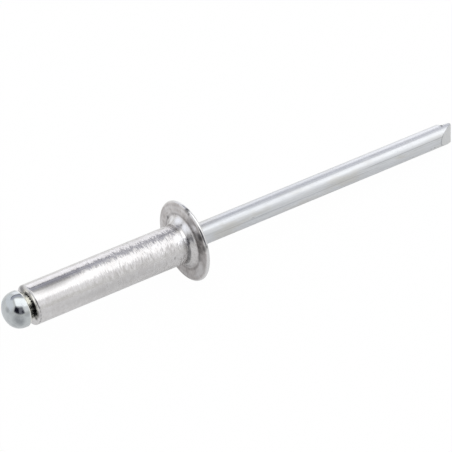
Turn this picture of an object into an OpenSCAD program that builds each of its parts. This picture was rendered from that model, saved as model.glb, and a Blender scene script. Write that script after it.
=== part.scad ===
// Open-end domed blind rivet, unset: a tubular body with the pulling mandrel crimped in it.
// The middle of the flange's seat face is the origin. The rivet lies as it comes to rest on a
// flat surface, on the flange's rim and the mandrel's tip, with the blind end towards -X.

/* [Shank] */
// Outer diameter of the tubular shank
body_d = 4.0; // [3.6:0.05:4.8]
// Length of the shank from the flange's seat face to its open end
body_len = 17.5; // [8:0.5:30]
// Diameter of the bore along the shank
bore_d = 2.5; // [2.4:0.02:3]
// Rounding of the shank's outer edge at the open end
mouth_edge_r = 0.2; // [0.05:0.01:0.3]

/* [Flange] */
// Diameter over the flange's rim
flange_d = 8.2; // [7:0.1:10]
// Height of the flange's dome at the mandrel, above the seat face
flange_h = 1.0; // [0.7:0.05:1.7]
// Height of the flange at its rim
rim_h = 0.35; // [0.32:0.01:0.6]
// Rounding of both edges of the rim
rim_edge_r = 0.15; // [0.05:0.01:0.15]
// Radius of the fillet between the shank and the seat face
root_r = 0.78; // [0.2:0.02:1.2]

/* [Crimp] */
// Length of the narrow bore that grips the mandrel, measured from the top of the dome
grip_len = 1.3; // [0.6:0.1:4]
// Length of the taper that leads from the shank's bore to the narrow bore
grip_lead = 0.5; // [0.2:0.1:1.5]
// Width of the bevel round the narrow bore's mouth
grip_bevel = 0.1; // [0.02:0.01:0.2]
// Clearance all round between the narrow bore and the mandrel's stem
grip_gap = 0.01; // [0:0.005:0.05]

/* [Mandrel head] */
// Diameter of the head
head_d = 3.62; // [3.2:0.02:3.9]
// Width of the head's straight rim
head_rim_w = 0.16; // [0.05:0.01:0.4]
// Height of the dome above the rim
dome_h = 1.6; // [0.8:0.05:2.2]
// Fullness of the dome's outline, where 2 is an ellipse
dome_fullness = 2.3; // [2:0.1:3.2]
// Angle between the underside of the head and the axis
underside_angle = 38; // [30:1:60]
// Gap between the underside and the shank's mouth that it seats on
seat_gap = 0.01; // [0:0.005:0.05]

/* [Mandrel stem] */
// Diameter of the stem
stem_d = 2.24; // [1.8:0.02:2.36]
// Reach of the stem from the flange's seat face to the chisel edge
stem_reach = 32.5; // [20:0.5:45]
// Diameter left at the break neck
neck_d = 1.6; // [1.2:0.05:1.75]
// Width of the flat at the bottom of the break neck
neck_w = 0.2; // [0.1:0.05:0.6]
// Width of the neck's slope on each side
neck_slope_w = 0.35; // [0.2:0.05:0.8]
// Depth of the break neck's middle inside the shank, from its open end
neck_depth = 2.2; // [1.5:0.1:5]

/* [Chisel tip] */
// Distance of the chisel edge from the axis
edge_offset = 0.29; // [0:0.01:0.8]
// Angle between the long facet and the axis
long_facet_angle = 25; // [18:1:45]
// Angle between the short facet and the axis
short_facet_angle = 60; // [35:1:75]
// Turn of the chisel edge about the axis, away from upright
edge_turn = -11.3; // [-20:0.1:20]

/* [Hidden] */
$fn = 96;

body_r = body_d / 2;
bore_r = bore_d / 2;
flange_r = flange_d / 2;
stem_r = stem_d / 2;
head_r = head_d / 2;
neck_r = neck_d / 2;
grip_r = stem_r + grip_gap;

// Everything is drawn upright about Z, with the seat face at 0 and the tip upwards.
mouth_z = -body_len;
grip_bottom_z = flange_h - grip_len;
lead_bottom_z = grip_bottom_z - grip_lead;
dome_foot_r = flange_r - rim_edge_r;

// The underside's cone passes the bore's mouth with the seat gap, along the axis.
underside_run = 1 / tan(underside_angle);
head_rim_top_z = mouth_z - seat_gap - (head_r - bore_r) * underside_run;
head_rim_bottom_z = head_rim_top_z - head_rim_w;
stem_start_z = head_rim_top_z + (head_r - stem_r) * underside_run;
neck_z = mouth_z + neck_depth;
dome_steps = 28;

// What a cut reaches past the metal that it takes away.
over = 1;

// Centre of the round crown that joins the rim's upper edge to the grip's mouth.
crown_z = (pow(dome_foot_r, 2) + pow(rim_h, 2) - pow(grip_r, 2) - pow(flange_h, 2)) / (2 * (rim_h - flange_h));
crown_r = norm([grip_r, flange_h - crown_z]);

// The stem's underside ends where one of the facets begins, and there it touches the surface.
down_side = stem_r * sin(edge_turn) - edge_offset;
touch_z = stem_reach - max(down_side / tan(long_facet_angle), -down_side / tan(short_facet_angle));

// Tilt at which the rounded rim and that point of the tip touch the same flat surface.
rim_drop = dome_foot_r - stem_r;
rim_to_touch = touch_z - (rim_h - rim_edge_r);
rest_tilt = atan(rim_drop / rim_to_touch) + asin(rim_edge_r / norm([rim_drop, rim_to_touch]));

// Piece that a square corner loses where it is rounded. It fills the corner at the origin.
module corner_loss(r) {
    difference() {
        square(r);
        translate([r, r]) circle(r);
    }
}

// Shank and flange are drawn solid from the axis outwards, and the bore is taken out of them.
module shank_outline() {
    difference() {
        translate([0, mouth_z]) square([body_r, body_len + rim_h / 2]);
        translate([body_r, mouth_z]) mirror([1, 0]) corner_loss(mouth_edge_r);
    }
}

module root_fillet_outline() {
    translate([body_r, 0]) mirror([0, 1]) corner_loss(root_r);
}

// Disc of the flange with its rounded rim, under the round crown.
module flange_outline() {
    difference() {
        square([flange_r, rim_h]);
        translate([flange_r, 0]) mirror([1, 0]) corner_loss(rim_edge_r);
        translate([flange_r, rim_h]) mirror([1, 0]) mirror([0, 1]) corner_loss(rim_edge_r);
    }
    intersection() {
        translate([0, rim_h / 2]) square([dome_foot_r, 2 * flange_h]);
        translate([0, crown_z]) circle(crown_r, $fn = 360);
    }
}

// Bore of the shank, its taper, the narrow bore round the stem and the bevel at its mouth.
module bore_outline() {
    polygon([
        [0, mouth_z - over],
        [bore_r, mouth_z - over],
        [bore_r, lead_bottom_z],
        [grip_r, grip_bottom_z],
        [grip_r, flange_h - grip_bevel],
        [grip_r + grip_bevel + over, flange_h + over],
        [0, flange_h + over]
    ]);
}

module rivet_body() {
    color([0.80, 0.80, 0.81])
    rotate([0, 90 + rest_tilt, 0])
    rotate_extrude()
    difference() {
        union() {
            shank_outline();
            root_fillet_outline();
            flange_outline();
        }
        bore_outline();
    }
}

// Point on the dome's outline, from the top of the dome at 0 to the rim at 90.
function dome_point(a) = [
    head_r * pow(sin(a), 2 / dome_fullness),
    head_rim_bottom_z - dome_h * pow(cos(a), 2 / dome_fullness)
];

module mandrel_outline() {
    polygon(concat(
        [for (i = [0 : dome_steps]) dome_point(90 * i / dome_steps)],
        [
            [head_r, head_rim_top_z],
            [stem_r, stem_start_z],
            [stem_r, neck_z - neck_w / 2 - neck_slope_w],
            [neck_r, neck_z - neck_w / 2],
            [neck_r, neck_z + neck_w / 2],
            [stem_r, neck_z + neck_w / 2 + neck_slope_w],
            [stem_r, stem_reach],
            [0, stem_reach]
        ]
    ));
}

// Block that pares the tip down to one facet. Its lower face leans back from the edge.
module facet_cut(lean) {
    block = 4 * stem_d;
    translate([0, -edge_offset, stem_reach])
    rotate([lean, 0, 0])
    translate([-block / 2, -block / 2, 0])
    cube(block);
}

module mandrel() {
    color([0.72, 0.75, 0.78])
    rotate([0, 90 + rest_tilt, 0])
    difference() {
        rotate_extrude() mandrel_outline();
        rotate([0, 0, edge_turn]) {
            facet_cut(90 - long_facet_angle);
            facet_cut(short_facet_angle - 90);
        }
    }
}

rivet_body();
mandrel();
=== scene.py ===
import math

import bmesh
import bpy
from mathutils import Matrix, Vector


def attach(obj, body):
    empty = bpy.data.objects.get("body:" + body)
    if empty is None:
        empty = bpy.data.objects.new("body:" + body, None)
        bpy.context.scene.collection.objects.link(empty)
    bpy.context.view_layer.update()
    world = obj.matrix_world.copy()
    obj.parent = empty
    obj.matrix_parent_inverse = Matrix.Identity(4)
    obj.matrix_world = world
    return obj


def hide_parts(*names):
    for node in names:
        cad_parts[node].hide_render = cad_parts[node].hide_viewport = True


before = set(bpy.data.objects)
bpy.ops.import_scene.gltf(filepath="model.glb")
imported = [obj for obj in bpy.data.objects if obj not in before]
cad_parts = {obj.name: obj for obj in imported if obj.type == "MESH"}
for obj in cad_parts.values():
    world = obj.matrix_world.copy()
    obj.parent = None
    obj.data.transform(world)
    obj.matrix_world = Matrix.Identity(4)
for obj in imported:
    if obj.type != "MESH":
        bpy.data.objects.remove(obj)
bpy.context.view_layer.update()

mm = 0.001

# Both pieces are turned upright about Z, tip upwards, and then laid down on the floor, a little past level.
layDown = {"tilt": math.radians(90 + 5.320508), "floor": -4.1080 * mm}


# Small helpers that keep the node trees short.

def put(tree, socket, value):
    if isinstance(value, bpy.types.NodeSocket):
        tree.links.new(value, socket)
    else:
        socket.default_value = value


def addNode(tree, kind, settings=None, **values):
    node = tree.nodes.new(kind)
    for name, value in (settings or {}).items():
        setattr(node, name, value)
    for name, value in values.items():
        put(tree, node.inputs[name.replace("_", " ")], value)
    return node


def calc(tree, operation, *values):
    node = tree.nodes.new("ShaderNodeMath")
    node.operation = operation
    for socket, value in zip(node.inputs, values):
        put(tree, socket, value)
    return node.outputs[0]


def times(tree, *values):
    total = values[0]
    for value in values[1:]:
        total = calc(tree, "MULTIPLY", total, value)
    return total


def upToOne(tree, value):
    return calc(tree, "MINIMUM", calc(tree, "MAXIMUM", value, 0.0), 1.0)


def vectorCalc(tree, operation, *values):
    node = tree.nodes.new("ShaderNodeVectorMath")
    node.operation = operation
    for socket, value in zip(node.inputs, values):
        put(tree, socket, value)
    return node.outputs["Value" if operation in ("LENGTH", "DOT_PRODUCT") else "Vector"]


def split(tree, vector):
    return addNode(tree, "ShaderNodeSeparateXYZ", Vector=vector).outputs


def join(tree, x, y, z):
    return addNode(tree, "ShaderNodeCombineXYZ", X=x, Y=y, Z=z).outputs[0]


def scaled(tree, vector, factor):
    return vectorCalc(tree, "MULTIPLY", vector, join(tree, factor, factor, factor))


def spin(tree, vector, angle, axis="Z_AXIS"):
    turned = addNode(tree, "ShaderNodeVectorRotate", {"rotation_type": axis}, Vector=vector, Angle=angle)
    return turned.outputs[0]


def bearingOf(tree, parts):
    return times(tree, calc(tree, "ARCTAN2", parts["Y"], parts["X"]), math.degrees(1))


def ramp(tree, value, low, high, start=0.0, end=1.0):
    node = addNode(tree, "ShaderNodeMapRange", {"interpolation_type": "SMOOTHSTEP"}, Value=value)
    for name, number in (("From Min", low), ("From Max", high), ("To Min", start), ("To Max", end)):
        node.inputs[name].default_value = number
    return node.outputs["Result"]


def band(tree, value, rises, falls):
    return times(tree, ramp(tree, value, *rises), ramp(tree, value, *falls, 1.0, 0.0))


def within(tree, value, low, high, soft):
    return band(tree, value, (low - soft, low + soft), (high - soft, high + soft))


def grain(tree, vector, size, seed, detail=2.0, roughness=0.5):
    node = addNode(tree, "ShaderNodeTexNoise", {"noise_dimensions": "4D"}, Vector=vector, W=float(seed))
    node.inputs["Scale"].default_value = 1 / size
    node.inputs["Detail"].default_value = detail
    node.inputs["Roughness"].default_value = roughness
    return node.outputs[0]


def tint(tree, factor, first, second):
    node = addNode(tree, "ShaderNodeMix", {"data_type": "RGBA", "clamp_factor": True})
    put(tree, node.inputs[0], factor)
    for socket, colour in ((node.inputs[6], first), (node.inputs[7], second)):
        put(tree, socket, colour if isinstance(colour, bpy.types.NodeSocket) else (*colour, 1.0))
    return node.outputs[2]


# Camera, at the photograph's angle and with no roll. Its place is so far aside, above and away from the
# middle of the flange's seat, in its own directions.

view = {
    "right": Vector((0.8224434, -0.5688469, 0.0)),
    "back": Vector((-0.3989631, -0.5768241, 0.7128130)),
    "aside": 4.149 * mm,
    "above": 1.4915 * mm,
    "away": 291.3 * mm,
    "lens": 242.2,
    "sensor": 36,
    "clip": (0.01, 10),
}


def placeCamera():
    right = view["right"].normalized()
    back = (view["back"] - right * view["back"].dot(right)).normalized()
    above = back.cross(right)
    data = bpy.data.cameras.new("camera")
    data.lens = view["lens"]
    data.sensor_width = view["sensor"]
    data.clip_start, data.clip_end = view["clip"]
    camera = bpy.data.objects.new("camera", data)
    turn = Matrix((right, above, back)).transposed().to_4x4()
    spot = right * view["aside"] + above * view["above"] + back * view["away"]
    camera.matrix_world = Matrix.Translation(spot) @ turn
    bpy.context.collection.objects.link(camera)
    bpy.context.scene.camera = camera


# Studio: pale paper all round, a soft diffuser overhead with a lamp in it, and patches of light and dark.
# Angles are in degrees, round from +X and up from level. The camera itself sees plain white.

studio = {
    "lamp": {"spot": (0.1380, -0.0800, 0.62), "turn": -30, "size": (0.92, 0.58), "power": 0.84},
    "around": (0.90, 0.90, 0.89),
    # The diffuser's edges are as far from the point overhead as these times its height.
    "diffuser": {
        "turn": -30,
        "along": (-0.45, 1.15),
        "across": (-0.54, 0.46),
        "soft": 0.18,
        "lowest": 0.05,
        "colour": (1.32, 1.33, 1.35),
    },
    "sideSoftness": 1.5,  # how much softer a patch is at its sides than at its top and foot
    "patches": (
        # Pale boards on the camera's right, behind on the left and straight behind.
        {"azimuth": -48, "half": 30, "low": 18, "high": 62, "soft": 8, "colour": (1.14, 1.14, 1.16)},
        {"azimuth": 132, "half": 46, "low": -25, "high": 50, "soft": 6, "colour": (1.05, 1.07, 1.12)},
        {"azimuth": 51, "half": 28, "low": -14, "high": 29, "soft": 5, "colour": (1.48, 1.48, 1.54)},
        # The dim gap above the board behind, darkest at its foot. It draws the long dark line on the metal.
        {"azimuth": 62, "half": 60, "low": 33, "high": 53, "soft": 4, "colour": (0.60, 0.61, 0.70)},
        {"azimuth": 58, "half": 50, "low": 33, "high": 37.5, "soft": 2, "colour": (0.17, 0.17, 0.22)},
        # The dark room on the camera's side, with its two darkest places.
        {"azimuth": -127, "half": 43, "low": 13, "high": 57, "soft": 4, "colour": (0.26, 0.26, 0.29)},
        {"azimuth": -147, "half": 19, "low": 18, "high": 50, "soft": 3, "colour": (0.01, 0.01, 0.02)},
        {"azimuth": -96, "half": 8, "low": 18, "high": 34, "soft": 3, "colour": (0.06, 0.06, 0.08)},
    ),
}


def buildStudio():
    scene = bpy.context.scene
    scene.view_settings.view_transform = "Standard"

    given = studio["lamp"]
    data = bpy.data.lights.new("lamp", "AREA")
    data.shape = "RECTANGLE"
    data.size, data.size_y = given["size"]
    data.energy = given["power"]
    lamp = bpy.data.objects.new("lamp", data)
    lamp.location = given["spot"]
    lamp.rotation_euler = (0.0, 0.0, math.radians(given["turn"]))
    bpy.context.collection.objects.link(lamp)

    world = bpy.data.worlds.new("studio")
    scene.world = world
    world.use_nodes = True
    tree = world.node_tree
    tree.nodes.clear()
    direction = addNode(tree, "ShaderNodeTexCoord").outputs["Generated"]
    upwards = split(tree, direction)["Z"]
    height = times(tree, calc(tree, "ARCSINE", upwards), math.degrees(1))
    colour = studio["around"]
    for patch in studio["patches"]:
        bearing = bearingOf(tree, split(tree, spin(tree, direction, -math.radians(patch["azimuth"]))))
        wide = within(tree, bearing, -patch["half"], patch["half"], patch["soft"] * studio["sideSoftness"])
        tall = within(tree, height, patch["low"], patch["high"], patch["soft"])
        colour = tint(tree, times(tree, wide, tall), colour, patch["colour"])

    sheet = studio["diffuser"]
    turned = split(tree, spin(tree, direction, -math.radians(sheet["turn"])))
    rise = calc(tree, "MAXIMUM", upwards, sheet["lowest"])
    along = within(tree, calc(tree, "DIVIDE", turned["X"], rise), *sheet["along"], sheet["soft"])
    across = within(tree, calc(tree, "DIVIDE", turned["Y"], rise), *sheet["across"], sheet["soft"])
    colour = tint(tree, times(tree, along, across), colour, sheet["colour"])
    toCamera = addNode(tree, "ShaderNodeLightPath").outputs["Is Camera Ray"]
    colour = tint(tree, toCamera, colour, (1.0, 1.0, 1.0))
    background = addNode(tree, "ShaderNodeBackground", Color=colour, Strength=1.0)
    output = addNode(tree, "ShaderNodeOutputWorld")
    tree.links.new(background.outputs[0], output.inputs["Surface"])


# Floor: a sheet that is white to the camera and still takes the soft shadow. In the metal it goes from grey
# on the near side to white on the far side, between two places given in metres.

floor = {
    "half": 1.6,
    "white": 0.985,
    "mirrored": (0.42, 1.03),
    "brightens": (0.007, 0.013),
    "slant": 0.35,
    "paper": 0.86,
}


def buildFloor():
    half, level = floor["half"], layDown["floor"]
    mesh = bpy.data.meshes.new("floor")
    mesh.from_pydata([(-half, -half, level), (half, -half, level), (half, half, level), (-half, half, level)],
                     [], [(0, 1, 2, 3)])
    sheet = bpy.data.objects.new("floor", mesh)
    bpy.context.collection.objects.link(sheet)
    material = bpy.data.materials.new("white paper")
    material.use_nodes = True
    tree = material.node_tree
    tree.nodes.clear()
    ray = addNode(tree, "ShaderNodeLightPath").outputs
    mirrored = calc(tree, "MAXIMUM", ray["Is Glossy Ray"], ray["Is Transmission Ray"])
    place = split(tree, addNode(tree, "ShaderNodeTexCoord").outputs["Object"])
    behind = calc(tree, "ADD", place["Y"], times(tree, place["X"], floor["slant"]))
    mirrored = times(tree, mirrored, ramp(tree, behind, *floor["brightens"], *floor["mirrored"]))
    share = calc(tree, "MAXIMUM", times(tree, ray["Is Camera Ray"], floor["white"]), mirrored)
    paper = addNode(tree, "ShaderNodeBsdfDiffuse", Color=(*[floor["paper"]] * 3, 1.0))
    glow = addNode(tree, "ShaderNodeEmission", Color=(1.0, 1.0, 1.0, 1.0), Strength=1.0)
    mixed = addNode(tree, "ShaderNodeMixShader", Fac=share)
    tree.links.new(paper.outputs[0], mixed.inputs[1])
    tree.links.new(glow.outputs[0], mixed.inputs[2])
    output = addNode(tree, "ShaderNodeOutputMaterial")
    tree.links.new(mixed.outputs[0], output.inputs["Surface"])
    mesh.materials.append(material)


# Outlines for the lathe, as (radius, height) in millimetres. Heights are from the flange's seat, up towards
# the tip.

def run(start, end, steps):
    return [(start[0] + (end[0] - start[0]) * i / steps, start[1] + (end[1] - start[1]) * i / steps)
            for i in range(steps + 1)]


def bend(centre, radius, fromAngle, toAngle, steps, reach=None):
    turns = [math.radians(fromAngle + (toAngle - fromAngle) * i / steps) for i in range(steps + 1)]
    return [(centre[0] + (reach or radius) * math.cos(a), centre[1] + radius * math.sin(a)) for a in turns]


def chain(*parts, closest=1e-5):
    points = []
    for part in parts:
        for point in part:
            if not points or math.dist(point, points[-1]) > closest:
                points.append(point)
    return points


body = {
    "radius": 2.0,
    "length": 17.5,
    "bore": 1.25,
    "boreEdge": 0.03,
    "mouthEdge": 0.2,
    "mouthEdgeReach": 0.40,
    "flange": 4.1,
    "domeHeight": 1.0,
    "rimHeight": 0.40,
    "rimEdge": 0.15,
    "seatEdge": 0.25,
    "seatEdgeReach": 0.30,
    # The collar is a straight cone with a round foot, and a slight crease where it meets the seat.
    "root": 0.78,
    "rootStart": 0.797,
    "rootFoot": 0.50,
    "collarLean": 45,
    "collar": ((2.172, -0.418), (2.520, -0.070)),
    "crease": ((2.600, -0.025), (2.660, -0.006)),
    # The crimp: its radius, depth and lead, and the width and depth of the bevel at its mouth.
    "grip": 1.13,
    "gripDepth": 1.3,
    "gripLead": 0.5,
    "gripBevel": (0.09, 0.1),
    # What the outline leaves free between a round stretch and the next one, in mm and in degrees.
    "gap": 0.02,
    "turnGap": 0.4,
    "segments": 256,
    "seed": 4,
    "wobble": 0.0022,
    "wobbleSize": 1.4,
    "nickWidth": 0.16,
    "nickDepth": 0.012,
    # Nicks, as (height, degrees round the axis, radius).
    "nicks": (
        (-8.9, -165, 2.0), (-7.6, -163, 2.0), (-5.1, -166, 2.0), (-3.2, -168, 2.0), (-10.4, -162, 2.0),
        (-4.6, -96, 2.0), (-12.1, -92, 2.0), (-15.8, -112, 2.0), (-6.3, -120, 2.0), (-9.5, 40, 2.0),
        (-3.9, 95, 2.0), (-13.0, 150, 2.0), (0.2, -158, 4.1), (0.17, -100, 4.1), (0.2, 20, 4.1),
    ),
}


def bodyOutline():
    b = body
    radius, bore, boreEdge, grip = b["radius"], b["bore"], b["boreEdge"], b["grip"]
    mouth = -b["length"]
    mouthReach, mouthRise = radius - b["mouthEdgeReach"], mouth + b["mouthEdge"]
    seatEnd = b["flange"] - b["seatEdgeReach"]
    bevelWidth, bevelDepth = b["gripBevel"]
    gripFoot = b["domeHeight"] - b["gripDepth"]
    # The dome is a cap of a sphere from the rim's upper edge to the bevel, and crown is the sphere's centre.
    foot = b["flange"] - b["rimEdge"]
    crown = (foot ** 2 + b["rimHeight"] ** 2 - grip ** 2 - b["domeHeight"] ** 2) / (
        2 * (b["rimHeight"] - b["domeHeight"]))
    crownRadius = math.hypot(grip, b["domeHeight"] - crown)
    lean = math.degrees(math.asin(foot / crownRadius))
    top = math.degrees(math.asin((grip + bevelWidth) / crownRadius))
    return chain(
        run((bore, mouth + boreEdge), (bore + boreEdge, mouth), 2),
        run((bore + boreEdge * 1.5, mouth), (mouthReach, mouth), 8),
        bend((mouthReach, mouthRise), b["mouthEdge"], -90, 0, 12, b["mouthEdgeReach"]),
        run((radius, mouthRise), (radius, -b["rootStart"]), 170),
        bend((radius + b["rootFoot"], -b["rootStart"]), b["rootFoot"], 180, 90 + b["collarLean"], 12),
        run(*b["collar"], 8),
        run(*b["crease"], 2),
        run((radius + b["root"] + b["gap"], 0.0), (seatEnd - b["gap"], 0.0), 14),
        bend((seatEnd, b["seatEdge"]), b["seatEdge"], -90, 0, 12, b["seatEdgeReach"]),
        bend((foot, b["rimHeight"] - b["rimEdge"]), b["rimEdge"], 0, 90 - lean, 8),
        bend((0.0, crown), crownRadius, 90 - lean + b["turnGap"], 90 - top, 40),
        run((grip, b["domeHeight"] - bevelDepth), (grip, gripFoot), 4),
        run((bore, gripFoot - b["gripLead"]), (bore, mouth + boreEdge), 12),
    )


mandrel = {
    "head": 1.81,
    "headRim": (-18.387, -18.227),
    # The rim's upper corner is blunt: its points, as (inwards, upwards) from the sharp corner.
    "headCorner": ((0.0, -0.03), (0.008, -0.008), (0.03, 0.036), (0.05, 0.064)),
    "dome": 1.6,
    "domeSteps": 52,
    "fullness": 2.3,
    "coneEnd": -17.344,
    # The cone ends just before the stem, as (outwards, upwards) from where they meet.
    "coneFoot": (0.01, -0.013),
    "gap": 0.02,
    "stem": 1.12,
    "neck": 0.8,
    "neckAt": -15.3,
    "neckFlat": 0.2,
    "neckSlope": 0.35,
    # The stem's rows are far apart inside the body and close together outside it.
    "hiddenTo": 0.6,
    "shownFrom": 0.8,
    "reach": 32.5,
    "tipEdge": 0.025,
    "segments": 208,
    "seed": 9,
    "wobble": 0.0016,
    "wobbleSize": 1.1,
    "tipRows": 72,
    "nickWidth": 0.13,
    "nickDepth": 0.05,
    "nicks": (
        (31.45, 172, 1.12), (31.3, 167, 1.12), (29.84, -81, 1.12), (29.4, -84, 1.12), (30.8, -76, 1.12),
        (27.1, -77, 1.12), (7.3, -115, 1.12), (7.7, -114, 1.12), (16.0, 60, 1.12), (24.0, 20, 1.12),
    ),
}

# The tip is nipped off by two facets that meet in a chisel edge beside the axis. One corner of the edge is
# worn down, and the cutter pinched one side flat.
chisel = {
    "start": 30.0,
    "offset": 0.29,
    "longAngle": 25.0,
    "shortAngle": 60.0,
    "turn": -11.3,
    "worn": 0.03,
    "cornerFrom": 0.85,
    "cornerDrop": 0.9,
    "pinchAngle": 137.0,
    "pinchDepth": 0.22,
    "pinchStart": 31.35,
    "pinchRun": 0.16,
}


def mandrelOutline():
    m = mandrel
    head, stem, neck, reach, edge = m["head"], m["stem"], m["neck"], m["reach"], m["tipEdge"]
    low, high = m["headRim"]
    power = 2 / m["fullness"]
    dome = []
    for i in range(m["domeSteps"] + 1):
        a = math.radians(90 * i / m["domeSteps"])
        dome.append((head * math.sin(a) ** power, low - m["dome"] * math.cos(a) ** power))
    corner = [(head - inwards, high + upwards) for inwards, upwards in m["headCorner"]]
    footOut, footUp = m["coneFoot"]
    slope, flat, at = m["neckSlope"], m["neckFlat"] / 2, m["neckAt"]
    return chain(
        dome,
        run((head, low + m["gap"]), corner[0], 3),
        corner,
        run(corner[-1], (stem + footOut, m["coneEnd"] + footUp), 10),
        run((stem, m["coneEnd"] + m["gap"]), (stem, at - flat - slope), 8),
        run((neck, at - flat), (neck, at + flat), 2),
        run((stem, at + flat + slope), (stem, m["hiddenTo"]), 24),
        run((stem, m["shownFrom"]), (stem, chisel["start"]), 144),
        run((stem, chisel["start"]), (stem, reach - edge), m["tipRows"]),
        [(stem - edge * 0.3, reach - edge * 0.3)],
        run((stem - edge, reach), (0.0, reach), 30),
    )


# The lathe: a grid whose rows follow the outline and whose columns go round the axis.

latheInputs = {
    "NodeSocketObject": ("Outline", "Nicks"),
    "NodeSocketInt": ("Rows", "Segments", "Seed"),
    "NodeSocketBool": ("Chisel",),
    "NodeSocketFloat": (
        "Wobble", "Wobble Size", "Nick Width", "Nick Depth", "Lay Down",
        "Reach", "Chisel Start", "Edge Offset", "Edge Turn", "Long Angle", "Short Angle", "Worn Edge",
        "Corner From", "Corner Drop", "Pinch Angle", "Pinch From", "Pinch Start", "Pinch Run"),
    "NodeSocketMaterial": ("Material",),
}
mergeWithin = 0.001 * mm


def latheTree():
    tree = bpy.data.node_groups.new("lathe", "GeometryNodeTree")
    for kind, names in latheInputs.items():
        for name in names:
            tree.interface.new_socket(name, in_out="INPUT", socket_type=kind)
    tree.interface.new_socket("Geometry", in_out="OUTPUT", socket_type="NodeSocketGeometry")
    given = addNode(tree, "NodeGroupInput").outputs

    # A flat grid is wound round the axis, each row at the radius and height of its point of the outline.
    columns = calc(tree, "ADD", given["Segments"], 1)
    grid = addNode(tree, "GeometryNodeMeshGrid", Size_X=1.0, Size_Y=1.0, Vertices_X=given["Rows"],
                   Vertices_Y=columns)
    place = split(tree, addNode(tree, "GeometryNodeInputPosition").outputs[0])
    row = calc(tree, "ROUND", times(tree, calc(tree, "ADD", place["X"], 0.5),
                                    calc(tree, "SUBTRACT", given["Rows"], 1)))
    angle = times(tree, calc(tree, "ADD", place["Y"], 0.5), 2 * math.pi)
    outline = addNode(tree, "GeometryNodeObjectInfo", {"transform_space": "ORIGINAL"},
                      Object=given["Outline"])
    sample = addNode(tree, "GeometryNodeSampleIndex", {"data_type": "FLOAT_VECTOR", "domain": "POINT"},
                     Geometry=outline.outputs["Geometry"], Index=row)
    tree.links.new(addNode(tree, "GeometryNodeInputPosition").outputs[0], sample.inputs["Value"])
    point = split(tree, sample.outputs[0])
    ring = [times(tree, point["X"], calc(tree, way, angle)) for way in ("COSINE", "SINE")]
    turned = addNode(tree, "GeometryNodeSetPosition", Geometry=grid.outputs["Mesh"],
                     Position=join(tree, *ring, point["Z"]))
    closed = addNode(tree, "GeometryNodeMergeByDistance", Geometry=turned.outputs[0], Distance=mergeWithin)

    # The chisel lets the rows near the tip slide down to the nearer of the two facets, and a little more at
    # the worn corner.
    at = addNode(tree, "GeometryNodeInputPosition").outputs[0]
    height = split(tree, at)["Z"]
    spun = split(tree, spin(tree, at, times(tree, given["Edge Turn"], -1)))
    beside = calc(tree, "ADD", spun["Y"], given["Edge Offset"])
    longFacet = calc(tree, "DIVIDE", beside, calc(tree, "TANGENT", given["Long Angle"]))
    shortFacet = calc(tree, "DIVIDE", times(tree, beside, -1), calc(tree, "TANGENT", given["Short Angle"]))
    drop = calc(tree, "SMOOTH_MIN", longFacet, shortFacet, given["Worn Edge"])
    past = calc(tree, "SUBTRACT", times(tree, spun["X"], -1), given["Corner From"])
    past = calc(tree, "MAXIMUM", past, 0.0)
    corner = times(tree, times(tree, past, past), calc(tree, "DIVIDE", given["Corner Drop"], mm))
    drop = calc(tree, "SUBTRACT", drop, corner)
    share = calc(tree, "DIVIDE", calc(tree, "SUBTRACT", height, given["Chisel Start"]),
                 calc(tree, "SUBTRACT", given["Reach"], given["Chisel Start"]))
    share = times(tree, upToOne(tree, share), given["Chisel"])
    nipped = addNode(tree, "GeometryNodeSetPosition", Geometry=closed.outputs[0],
                     Offset=join(tree, 0.0, 0.0, times(tree, drop, share)))

    # The cutter's grip flattened one side next to the tip.
    bearing = given["Pinch Angle"]
    outwards = join(tree, calc(tree, "COSINE", bearing), calc(tree, "SINE", bearing), 0.0)
    excess = calc(tree, "SUBTRACT", vectorCalc(tree, "DOT_PRODUCT", at, outwards), given["Pinch From"])
    excess = calc(tree, "MAXIMUM", excess, 0.0)
    beyond = calc(tree, "DIVIDE", calc(tree, "SUBTRACT", height, given["Pinch Start"]), given["Pinch Run"])
    back = times(tree, times(tree, excess, upToOne(tree, beyond)), times(tree, given["Chisel"], -1))
    nipped = addNode(tree, "GeometryNodeSetPosition", Geometry=nipped.outputs[0],
                     Offset=scaled(tree, outwards, back))

    # A slight wobble of the skin, as cold forming leaves it.
    skin = addNode(tree, "GeometryNodeInputPosition").outputs[0]
    rough = addNode(tree, "ShaderNodeTexNoise", {"noise_dimensions": "4D"},
                    Vector=vectorCalc(tree, "DIVIDE", skin, join(tree, *[given["Wobble Size"]] * 3)),
                    W=given["Seed"], Scale=1.0, Detail=1.5)
    lift = times(tree, calc(tree, "SUBTRACT", rough.outputs[0], 0.5), given["Wobble"])
    facing = addNode(tree, "GeometryNodeInputNormal").outputs[0]
    waved = addNode(tree, "GeometryNodeSetPosition", Geometry=nipped.outputs[0],
                    Offset=scaled(tree, facing, lift))

    # Each point of the nicks' cloud dents the skin round it.
    cloud = addNode(tree, "GeometryNodeObjectInfo", {"transform_space": "ORIGINAL"}, Object=given["Nicks"])
    nearest = addNode(tree, "GeometryNodeProximity", {"target_element": "POINTS"},
                      Geometry=cloud.outputs["Geometry"])
    share = calc(tree, "DIVIDE", nearest.outputs["Distance"], given["Nick Width"])
    dent = times(tree, ramp(tree, share, 0.0, 1.0, -1.0, 0.0), given["Nick Depth"])
    dented = addNode(tree, "GeometryNodeSetPosition", Geometry=waved.outputs[0],
                     Offset=scaled(tree, facing, dent))

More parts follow.
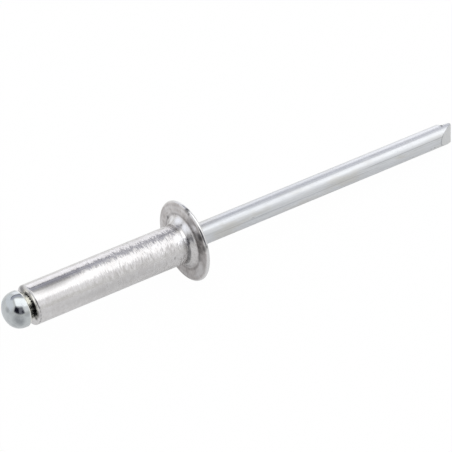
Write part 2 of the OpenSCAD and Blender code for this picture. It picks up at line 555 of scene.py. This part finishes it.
    laid = addNode(tree, "GeometryNodeTransform", Geometry=dented.outputs[0],
                   Rotation=join(tree, 0.0, given["Lay Down"], 0.0))
    smooth = addNode(tree, "GeometryNodeSetShadeSmooth", Geometry=laid.outputs[0])
    real = addNode(tree, "GeometryNodeRealizeInstances", Geometry=smooth.outputs[0])
    finished = addNode(tree, "GeometryNodeSetMaterial", Geometry=real.outputs[0], Material=given["Material"])
    result = addNode(tree, "NodeGroupOutput")
    tree.links.new(finished.outputs[0], result.inputs["Geometry"])
    return tree


def cloudOf(name, points):
    mesh = bpy.data.meshes.new(name)
    mesh.from_pydata([tuple(c * mm for c in point) for point in points], [], [])
    cloud = bpy.data.objects.new(name, mesh)
    bpy.context.collection.objects.link(cloud)
    return cloud


def onSkin(height, degrees, radius):
    return (radius * math.cos(math.radians(degrees)), radius * math.sin(math.radians(degrees)), height)


def tipSizes():
    lengths = {
        "Reach": mandrel["reach"], "Chisel Start": chisel["start"], "Edge Offset": chisel["offset"],
        "Worn Edge": chisel["worn"], "Corner From": chisel["cornerFrom"],
        "Pinch From": mandrel["stem"] - chisel["pinchDepth"], "Pinch Start": chisel["pinchStart"],
        "Pinch Run": chisel["pinchRun"]}
    angles = {
        "Edge Turn": chisel["turn"], "Long Angle": chisel["longAngle"], "Short Angle": chisel["shortAngle"],
        "Pinch Angle": chisel["pinchAngle"]}
    given = {"Chisel": True, "Corner Drop": chisel["cornerDrop"]}
    given.update((name, length * mm) for name, length in lengths.items())
    given.update((name, math.radians(angle)) for name, angle in angles.items())
    return given


def turnPiece(name, tree, points, sizes, material, tip):
    outline = cloudOf(name + " outline", [(r, 0.0, z) for r, z in points])
    nicks = cloudOf(name + " nicks", [onSkin(*nick) for nick in sizes["nicks"]])
    piece = bpy.data.objects.new(name, bpy.data.meshes.new(name))
    bpy.context.collection.objects.link(piece)
    lathe = piece.modifiers.new("lathe", "NODES")
    lathe.node_group = tree
    given = {
        "Outline": outline, "Rows": len(points), "Segments": sizes["segments"],
        "Wobble": sizes["wobble"] * mm, "Wobble Size": sizes["wobbleSize"] * mm, "Seed": sizes["seed"],
        "Nicks": nicks, "Nick Width": sizes["nickWidth"] * mm, "Nick Depth": sizes["nickDepth"] * mm,
        "Lay Down": layDown["tilt"], "Material": material, **tip}
    for socket in tree.interface.items_tree:
        if socket.in_out == "INPUT" and socket.name in given:
            lathe[socket.identifier] = given[socket.name]
    evaluated = piece.evaluated_get(bpy.context.evaluated_depsgraph_get())
    mesh = bpy.data.meshes.new_from_object(evaluated)
    piece.modifiers.clear()
    piece.data = mesh
    for thing in (outline, nicks):
        bpy.data.objects.remove(thing)
    form = bmesh.new()
    form.from_mesh(mesh)
    bmesh.ops.recalc_face_normals(form, faces=form.faces)
    openEdges = sum(1 for edge in form.edges if not edge.is_manifold)
    form.to_mesh(mesh)
    form.free()
    print(name, "faces", len(mesh.polygons), "open edges", openEdges)
    return piece


# Materials. Both read the piece's own place in millimetres, turned upright like the outlines above.

def uprightPlace(tree):
    place = addNode(tree, "ShaderNodeTexCoord").outputs["Object"]
    mapping = addNode(tree, "ShaderNodeMapping", {"vector_type": "POINT"}, Vector=place)
    mapping.inputs["Rotation"].default_value = (0.0, -layDown["tilt"], 0.0)
    mapping.inputs["Scale"].default_value = (1 / mm,) * 3
    return mapping.outputs[0]


def squeeze(tree, vector, across, along):
    parts = split(tree, vector)
    return join(tree, times(tree, parts["X"], across), times(tree, parts["Y"], across),
                times(tree, parts["Z"], along))


# Soft spots on the skin, as (height, degrees round the axis, radius, half width, half length, strength).
def spots(tree, place, marks):
    total = 0.0
    for height, degrees, radius, across, along, strength in marks:
        away = vectorCalc(tree, "SUBTRACT", place, onSkin(height, degrees, radius))
        away = vectorCalc(tree, "DIVIDE", away, (across, across, along))
        spot = ramp(tree, vectorCalc(tree, "LENGTH", away), 0.2, 1.0, strength, 0.0)
        total = calc(tree, "MAXIMUM", total, spot)
    return total


# Tips the shading normal round the axis, by an amount that the pattern gives.
def sway(tree, parts, pattern, amount):
    aside = vectorCalc(tree, "NORMALIZE", join(tree, times(tree, parts["Y"], -1), parts["X"], 0.0))
    laid = spin(tree, aside, layDown["tilt"], "Y_AXIS")
    lean = times(tree, calc(tree, "SUBTRACT", pattern, 0.5), amount)
    normal = addNode(tree, "ShaderNodeNewGeometry").outputs["Normal"]
    return vectorCalc(tree, "NORMALIZE", vectorCalc(tree, "ADD", normal, scaled(tree, laid, lean)))


def metal(name):
    material = bpy.data.materials.new(name)
    material.use_nodes = True
    tree = material.node_tree
    tree.nodes.clear()
    shader = addNode(tree, "ShaderNodeBsdfPrincipled")
    shader.inputs["Metallic"].default_value = 1.0
    output = addNode(tree, "ShaderNodeOutputMaterial")
    tree.links.new(shader.outputs[0], output.inputs["Surface"])
    return material, tree, shader


aluminium = {
    "base": (0.610, 0.598, 0.592),
    "dull": (0.490, 0.475, 0.468),
    "bright": (0.720, 0.720, 0.725),
    "seat": (0.590, 0.566, 0.554),
    "seatDark": (0.410, 0.386, 0.376),
    # Colour of the painted shade in the seat's crease.
    "crease": (0.300, 0.282, 0.276),
    "rim": (0.640, 0.635, 0.632),
    # Dark colour for real pits, stains and nicks, and for painted shade.
    "grimeAndShade": (0.050, 0.050, 0.052),
    # Each is a stretch in mm over which something sets in, along the axis from the seat or, on the flange,
    # out from the axis.
    "workedFrom": (-15.0, -7.0),
    "roughFrom": (-17.0, -4.0),
    "swingFrom": (-8.0, -2.0),
    "collarFrom": (-0.85, -0.45),
    "domeFrom": (0.20, 0.34),
    "seatFrom": (2.35, 2.8),
    "rimFrom": (3.96, 4.05),
    # Two rings on the seat, as where each rises and where it falls again. The first is painted shade in the
    # crease.
    "creaseShadeRing": ((2.64, 2.78), (2.84, 3.05)),
    "lipRing": ((3.72, 3.80), (3.86, 3.92)),
    # How far the ticks sway the shading normal, first along the tube and then next to the flange.
    "swing": (1.20, 1.75),
    "roughness": (0.16, 0.27),
    "bump": 0.0035,
    # Painted shade in the foot of the collar: its middle as (radius, height), how thin it is each way, and
    # its first and last bearing with a soft edge.
    "footAt": (2.05, -0.63),
    "footSqueeze": (5.0, 3.2),
    "footRound": (-120, -52, 14),
    # Soft dark spots: some real stains and nicks, many painted shade and painted reflection, as (height,
    # degrees round the axis, radius, half width, half length, strength).
    "stainsAndShade": (
        # Round the mouth: painted shade in the gap between the head's cone and the mouth.
        (-17.5, -101, 1.45, 0.78, 0.35, 0.98), (-17.5, -78, 1.50, 0.42, 0.30, 0.85),
        (-17.5, -126, 1.48, 0.50, 0.30, 0.85), (-17.5, 138, 1.60, 0.70, 0.30, 0.70),
        (-17.5, 165, 1.30, 0.34, 0.30, 0.90), (-17.5, -177, 1.27, 0.20, 0.20, 0.75),
        (-17.5, -163, 1.26, 0.20, 0.20, 0.75), (-17.5, -149, 1.26, 0.20, 0.20, 0.80),
        (-17.5, -135, 1.27, 0.26, 0.20, 0.85),
        # A broken line of painted shade along the mouth's outer edge.
        (-17.28, -122, 1.98, 0.28, 0.11, 0.50), (-17.28, -110, 1.98, 0.28, 0.11, 0.46),
        (-17.28, -98, 1.98, 0.28, 0.11, 0.52), (-17.27, -86, 1.98, 0.28, 0.11, 0.56),
        (-17.28, -74, 1.98, 0.28, 0.12, 0.60), (-17.28, -62, 1.98, 0.28, 0.11, 0.50),
        # Along the shank: marks, and painted reflection that carries the dark line on.
        (-15.0, -166, 2.0, 0.66, 3.8, 0.44), (-14.2, -176, 2.0, 0.11, 5.2, 0.40),
        (-2.25, -102.5, 2.0, 0.26, 0.18, 0.40), (-8.5, -98, 2.0, 0.78, 10.0, 0.13),
        (-2.3, -178, 2.0, 0.17, 2.0, 0.24),
        # On the collar: painted reflection where the dark line ends, and painted shade next to the fillet.
        (-0.95, 180, 2.0, 0.36, 0.32, 0.46), (-0.50, 178, 2.05, 0.50, 0.26, 0.40),
        (-0.72, -127, 2.0, 0.26, 0.18, 0.40), (-0.3, 179, 2.20, 0.22, 0.24, 0.75),
        (-0.42, -129, 2.08, 0.18, 0.20, 0.50),
        # On the seat and the rim.
        (0.0, -112, 3.15, 0.62, 0.30, 0.34), (0.0, -126, 3.30, 0.45, 0.30, 0.30),
        (0.0, -134, 3.70, 0.60, 0.30, 0.66), (0.0, -118, 3.85, 0.50, 0.30, 0.62),
        (0.0, 111, 2.90, 0.30, 0.30, 0.60), (0.0, -92, 2.90, 0.45, 0.30, 0.40),
        (0.1, -179, 4.1, 0.44, 0.34, 0.85), (0.0, -173, 3.95, 0.24, 0.24, 0.60),
        (0.2, -120, 4.1, 0.25, 0.25, 0.50),
    ),
    # Painted highlights: soft bright spots that stand in for reflections of the lights, given in the same
    # way.
    "paintedHighlights": (
        (-0.20, 128, 2.40, 0.85, 0.40, 0.75), (-0.20, 160, 2.38, 0.85, 0.40, 0.85),
        (-0.22, -165, 2.35, 0.75, 0.40, 0.85), (-0.20, -135, 2.38, 0.60, 0.40, 0.40),
        (-1.05, -146, 2.00, 0.95, 0.85, 0.80), (0.0, -152, 3.45, 0.42, 0.30, 0.85),
        (0.0, -77, 3.40, 0.80, 0.30, 0.24), (0.0, -55, 3.60, 0.80, 0.30, 0.22),
        (0.0, -95, 3.65, 0.45, 0.30, 0.20),
    ),
    "highlightPaint": (0.860, 0.860, 0.880),
}


def makeAluminium():
    given = aluminium
    material, tree, shader = metal("aluminium")
    place = uprightPlace(tree)
    parts = split(tree, place)
    flat = join(tree, parts["X"], parts["Y"], 0.0)
    radius = vectorCalc(tree, "LENGTH", flat)
    along = parts["Z"]
    onFlange = ramp(tree, radius, *given["seatFrom"])
    offFlange = calc(tree, "SUBTRACT", 1.0, onFlange)
    onRim = ramp(tree, radius, *given["rimFrom"])
    onDome = ramp(tree, along, *given["domeFrom"])
    offDome = calc(tree, "SUBTRACT", 1.0, onDome)

    broad = grain(tree, place, size=1.8, seed=3)
    mottled = grain(tree, place, size=0.34, seed=11, detail=3.0, roughness=0.6)
    pits = ramp(tree, grain(tree, place, size=0.20, seed=31, detail=1.0), 0.74, 0.80)
    # Forming leaves ticks across the tube, which grow stronger towards the flange.
    ticks = grain(tree, squeeze(tree, place, 1.6, 6.4), size=1.0, seed=23, roughness=0.6)
    fineTicks = grain(tree, squeeze(tree, place, 2.2, 12.0), size=1.0, seed=27, roughness=0.6)
    worked = ramp(tree, along, *given["workedFrom"], 0.15, 1.0)
    tickMarks = times(tree, ramp(tree, ticks, 0.54, 0.70), worked)

    colour = tint(tree, ramp(tree, mottled, 0.30, 0.72), given["dull"], given["bright"])
    colour = tint(tree, 0.62, colour, given["base"])
    colour = tint(tree, times(tree, ramp(tree, broad, 0.40, 0.68), 0.30), colour, given["dull"])
    colour = tint(tree, times(tree, tickMarks, 0.65), colour, given["dull"])
    colour = tint(tree, times(tree, ramp(tree, fineTicks, 0.50, 0.72), 0.38), colour, given["dull"])

    # The flange's seat is duller, with marks that run outwards, a dark ring of painted shade at its crease
    # and a faint one next to the rim.
    direction = vectorCalc(tree, "MULTIPLY", vectorCalc(tree, "NORMALIZE", flat), (7.0, 7.0, 0.0))
    outwards = join(tree, 0.0, 0.0, times(tree, radius, 0.8))
    spokes = vectorCalc(tree, "ADD", direction, outwards)
    spokes = grain(tree, spokes, size=0.7, seed=41, detail=3.0, roughness=0.6)
    rings = grain(tree, join(tree, times(tree, radius, 5.0), parts["X"], parts["Y"]), size=2.4, seed=43)
    seat = tint(tree, ramp(tree, spokes, 0.36, 0.66), given["seatDark"], given["seat"])
    seat = tint(tree, times(tree, ramp(tree, rings, 0.44, 0.64), 0.42), seat, given["bright"])
    crease = times(tree, band(tree, radius, *given["creaseShadeRing"]), ramp(tree, mottled, 0.35, 0.62, 0.45, 1.0))
    seat = tint(tree, crease, seat, given["crease"])
    seat = tint(tree, times(tree, band(tree, radius, *given["lipRing"]), 0.40), seat, given["seatDark"])
    colour = tint(tree, onFlange, colour, seat)
    # The dome on the far side is smooth and clean.
    dome = tint(tree, ramp(tree, broad, 0.35, 0.65), given["base"], given["rim"])
    colour = tint(tree, onDome, colour, dome)
    colour = tint(tree, onRim, colour, given["rim"])
    # Painted highlights: bright spots where the metal should reflect the light.
    paintedHighlights = times(tree, spots(tree, place, given["paintedHighlights"]), ramp(tree, mottled, 0.30, 0.60, 0.6, 1.0))
    colour = tint(tree, paintedHighlights, colour, given["highlightPaint"])
    # Painted shade darkens the foot of the collar, on one side.
    (footRadius, footHeight), (outSqueeze, alongSqueeze) = given["footAt"], given["footSqueeze"]
    foot = vectorCalc(tree, "LENGTH", join(
        tree, times(tree, calc(tree, "SUBTRACT", radius, footRadius), outSqueeze),
        times(tree, calc(tree, "SUBTRACT", along, footHeight), alongSqueeze), 0.0))
    foot = times(tree, ramp(tree, foot, 0.3, 1.0, 1.0, 0.0),
                 within(tree, bearingOf(tree, parts), *given["footRound"]),
                 ramp(tree, mottled, 0.25, 0.60, 0.45, 0.80))
    colour = tint(tree, foot, colour, given["grimeAndShade"])
    colour = tint(tree, times(tree, pits, 0.40), colour, given["grimeAndShade"])
    # Real stains and nicks, together with painted shade and painted reflection.
    stainsAndShade = times(tree, spots(tree, place, given["stainsAndShade"]), ramp(tree, mottled, 0.25, 0.50, 0.55, 1.0))
    colour = tint(tree, stainsAndShade, colour, given["grimeAndShade"])
    put(tree, shader.inputs["Base Color"], colour)

    rough = ramp(tree, along, *given["roughFrom"], *given["roughness"])
    for more in (times(tree, calc(tree, "SUBTRACT", mottled, 0.5), 0.16), times(tree, tickMarks, 0.08),
                 times(tree, onFlange, 0.06)):
        rough = calc(tree, "ADD", rough, more)
    rough = times(tree, rough, ramp(tree, radius, *given["rimFrom"], 1.0, 0.55))
    put(tree, shader.inputs["Roughness"], rough)

    # The collar was pressed smooth, and the seat and the dome have no ticks.
    swing = times(tree, worked, offFlange, offDome, ramp(tree, along, *given["collarFrom"], 1.0, 0.25),
                  ramp(tree, along, *given["swingFrom"], *given["swing"]))
    both = calc(tree, "ADD", times(tree, ticks, 0.62), times(tree, fineTicks, 0.38))
    marks = calc(tree, "ADD", times(tree, fineTicks, 0.35), times(tree, spokes, onFlange, 0.9))
    height = calc(tree, "ADD", times(tree, mottled, 0.55), times(tree, marks, offDome))
    height = calc(tree, "SUBTRACT", height, times(tree, pits, 0.6))
    bump = addNode(tree, "ShaderNodeBump", Strength=1.0, Distance=given["bump"] * mm, Height=height,
                   Normal=sway(tree, parts, both, swing))
    put(tree, shader.inputs["Normal"], bump.outputs[0])
    return material


zinc = {
    "base": (0.605, 0.620, 0.637),
    "streak": (0.530, 0.545, 0.562),
    # The paler colour of the painted highlight on the stem's upper side.
    "worn": (0.700, 0.710, 0.722),
    "sheenSide": 170.0,
    "smudge": (0.400, 0.420, 0.435),
    "warm": (0.520, 0.515, 0.490),
    "head": (0.496, 0.521, 0.525),
    # Creamy plate on the cone, made paler as painted light.
    "coneCreamAndLight": (0.930, 0.930, 0.865),
    # Dark colour of the head's smudges, partly real and partly painted shade.
    "darkSmudgeAndShade": (0.260, 0.275, 0.285),
    "cut": (0.575, 0.580, 0.575),
    "grimeAndShade": (0.050, 0.055, 0.060),
    # Each is a stretch in mm along the axis, from the seat, over which something sets in.
    "domeTo": (-18.30, -18.22),
    "roughFrom": (-18.30, -18.20),
    "stemFrom": (-17.4, -17.2),
    "sheenFrom": (2.0, 34.0),
    "roughness": (0.11, 0.35),
    "bump": 0.004,
    # Soft dark spots: nicks, and painted shade on the cone by the mouth, as (height, degrees round the axis,
    # radius, half width, half length, strength).
    "stainsAndShade": (
        (31.45, 171, 1.09, 0.26, 0.17, 1.00), (29.84, -81, 1.12, 0.14, 0.16, 0.50),
        (29.36, -84, 1.12, 0.10, 0.14, 0.40), (30.84, -76, 1.12, 0.12, 0.10, 0.45),
        (7.5, -115, 1.12, 0.09, 0.45, 0.35), (27.1, -77, 1.12, 0.12, 0.18, 0.30),
        # Painted shade on the cone, where it goes into the mouth.
        (-17.62, -124, 1.34, 0.30, 0.24, 0.80), (-17.64, -106, 1.35, 0.34, 0.26, 0.92),
        (-17.64, -88, 1.35, 0.32, 0.26, 0.92),
    ),
    # Smudges on the head, partly real and partly painted shade on its lower side.
    "smudgesAndShade": (
        (-19.36, -99, 1.53, 1.05, 0.85, 1.00), (-19.15, -84, 1.66, 0.50, 0.45, 0.80),
        (-19.87, -163, 0.83, 0.42, 0.34, 0.90), (-19.75, -140, 1.10, 0.60, 0.45, 0.32),
        (-18.60, -115, 1.80, 0.42, 0.50, 0.60), (-19.60, -60, 1.20, 0.50, 0.40, 0.50),
        (-19.05, 60, 1.65, 0.60, 0.40, 0.60),
    ),
    # Long die marks, as (degrees round the axis, first height, last height, half width in mm, strength).
    "dieMarks": (
        (-126, 21.0, 31.5, 0.055, 0.30), (-108, 3.0, 22.0, 0.06, 0.20), (-166, 6.0, 30.0, 0.05, 0.18),
        (40, 2.0, 28.0, 0.06, 0.30), (110, 5.0, 31.0, 0.05, 0.30),
    ),
}


def makeZinc():
    given = zinc
    material, tree, shader = metal("zinc plate")
    place = uprightPlace(tree)
    parts = split(tree, place)
    flat = join(tree, parts["X"], parts["Y"], 0.0)
    along = parts["Z"]
    onStem = ramp(tree, along, *given["stemFrom"])
    onDome = ramp(tree, along, *given["domeTo"], 1.0, 0.0)

    # Drawing leaves long streaks on the stem.
    drawn = grain(tree, squeeze(tree, place, 4.5, 0.10), size=1.0, seed=5, detail=3.0, roughness=0.6)
    fine = grain(tree, squeeze(tree, place, 13.0, 0.5), size=1.0, seed=7, roughness=0.6)
    patchy = grain(tree, squeeze(tree, place, 1.0, 0.35), size=1.3, seed=19, detail=3.0, roughness=0.6)
    smudged = grain(tree, place, size=0.9, seed=13, detail=3.0, roughness=0.55)
    specks = ramp(tree, grain(tree, place, size=0.16, seed=17, detail=1.0), 0.74, 0.80)

    stem = tint(tree, ramp(tree, drawn, 0.35, 0.68), given["base"], given["streak"])
    stem = tint(tree, times(tree, ramp(tree, fine, 0.45, 0.75), 0.40), stem, given["smudge"])
    stem = tint(tree, times(tree, ramp(tree, patchy, 0.46, 0.64), 0.75), stem, given["warm"])
    # Painted highlight: the side turned up and back is made brighter towards the tip.
    upper = vectorCalc(tree, "NORMALIZE", flat)
    upper = vectorCalc(tree, "DOT_PRODUCT", upper, onSkin(0.0, given["sheenSide"], 1.0))
    worn = times(tree, ramp(tree, along, *given["sheenFrom"], 0.12, 1.0),
                 ramp(tree, upper, 0.25, 0.85, 0.12, 0.72))
    stem = tint(tree, worn, stem, given["worn"])
    for degrees, first, last, width, strength in given["dieMarks"]:
        away = vectorCalc(tree, "SUBTRACT", flat, onSkin(0.0, degrees, mandrel["stem"]))
        line = ramp(tree, vectorCalc(tree, "LENGTH", away), width * 0.3, width, strength, 0.0)
        line = times(tree, line, within(tree, along, first, last, 1.5))
        stem = tint(tree, line, stem, given["grimeAndShade"])
    head = tint(tree, ramp(tree, smudged, 0.50, 0.72, 0.0, 0.7), given["head"], given["smudge"])
    # Head smudges: partly real, partly painted shade on the lower side.
    smudgesAndShade = times(tree, spots(tree, place, given["smudgesAndShade"]), ramp(tree, smudged, 0.30, 0.55, 0.55, 1.0))
    head = tint(tree, smudgesAndShade, head, given["darkSmudgeAndShade"])
    # The cone under the head is paler than the dome: partly the plate's creamy tint, partly painted light on
    # a cone that lies in shade.
    colour = tint(tree, onDome, given["coneCreamAndLight"], head)
    colour = tint(tree, onStem, colour, stem)
    colour = tint(tree, times(tree, specks, 0.3), colour, given["grimeAndShade"])
    # Nicks, and painted shade on the cone by the mouth.
    colour = tint(tree, spots(tree, place, given["stainsAndShade"]), colour, given["grimeAndShade"])

    # Depth below the two facets: the cut faces are bare metal, with a dark burr round them.
    spun = split(tree, spin(tree, place, -math.radians(chisel["turn"])))
    beside = calc(tree, "ADD", spun["Y"], chisel["offset"])
    longFacet = times(tree, beside, 1 / math.tan(math.radians(chisel["longAngle"])))
    shortFacet = times(tree, beside, -1 / math.tan(math.radians(chisel["shortAngle"])))
    depth = calc(tree, "ADD", calc(tree, "MINIMUM", longFacet, shortFacet), mandrel["reach"])
    depth = calc(tree, "SUBTRACT", depth, along)
    cut = ramp(tree, depth, 0.02, 0.05, 1.0, 0.0)
    burr = times(tree, band(tree, depth, (0.03, 0.06), (0.10, 0.18)), 0.42)
    torn = grain(tree, squeeze(tree, place, 2.0, 9.0), size=1.0, seed=29, detail=3.0, roughness=0.6)
    colour = tint(tree, cut, colour, tint(tree, ramp(tree, torn, 0.40, 0.68), given["cut"], given["streak"]))
    colour = tint(tree, burr, colour, given["grimeAndShade"])
    put(tree, shader.inputs["Base Color"], colour)

    rough = ramp(tree, along, *given["roughFrom"], *given["roughness"])
    rough = calc(tree, "ADD", rough, times(tree, calc(tree, "SUBTRACT", drawn, 0.5), onStem, 0.14))
    rough = calc(tree, "ADD", rough, ramp(tree, smudged, 0.50, 0.72, 0.0, 0.05))
    # The cone under the head is smoother than the stem.
    onCone = times(tree, calc(tree, "SUBTRACT", 1.0, onDome), calc(tree, "SUBTRACT", 1.0, onStem))
    rough = calc(tree, "SUBTRACT", rough, times(tree, onCone, 0.14))
    put(tree, shader.inputs["Roughness"], rough)

    height = times(tree, calc(tree, "ADD", drawn, times(tree, fine, 0.35)), onStem)
    height = calc(tree, "ADD", height, times(tree, smudged, 0.3))
    bump = addNode(tree, "ShaderNodeBump", Strength=1.0, Distance=given["bump"] * mm, Height=height)
    put(tree, shader.inputs["Normal"], bump.outputs[0])
    return material


placeCamera()
buildStudio()
buildFloor()
print("camera, lights and floor are set")

lathe = latheTree()
bodyPiece = turnPiece("body_skin", lathe, bodyOutline(), body, makeAluminium(), {"Chisel": False})
mandrelPiece = turnPiece("mandrel_skin", lathe, mandrelOutline(), mandrel, makeZinc(), tipSizes())
for piece, node in ((bodyPiece, "rivet_body"), (mandrelPiece, "mandrel")):
    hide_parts(node)
    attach(piece, "root")
print("body and mandrel are turned")
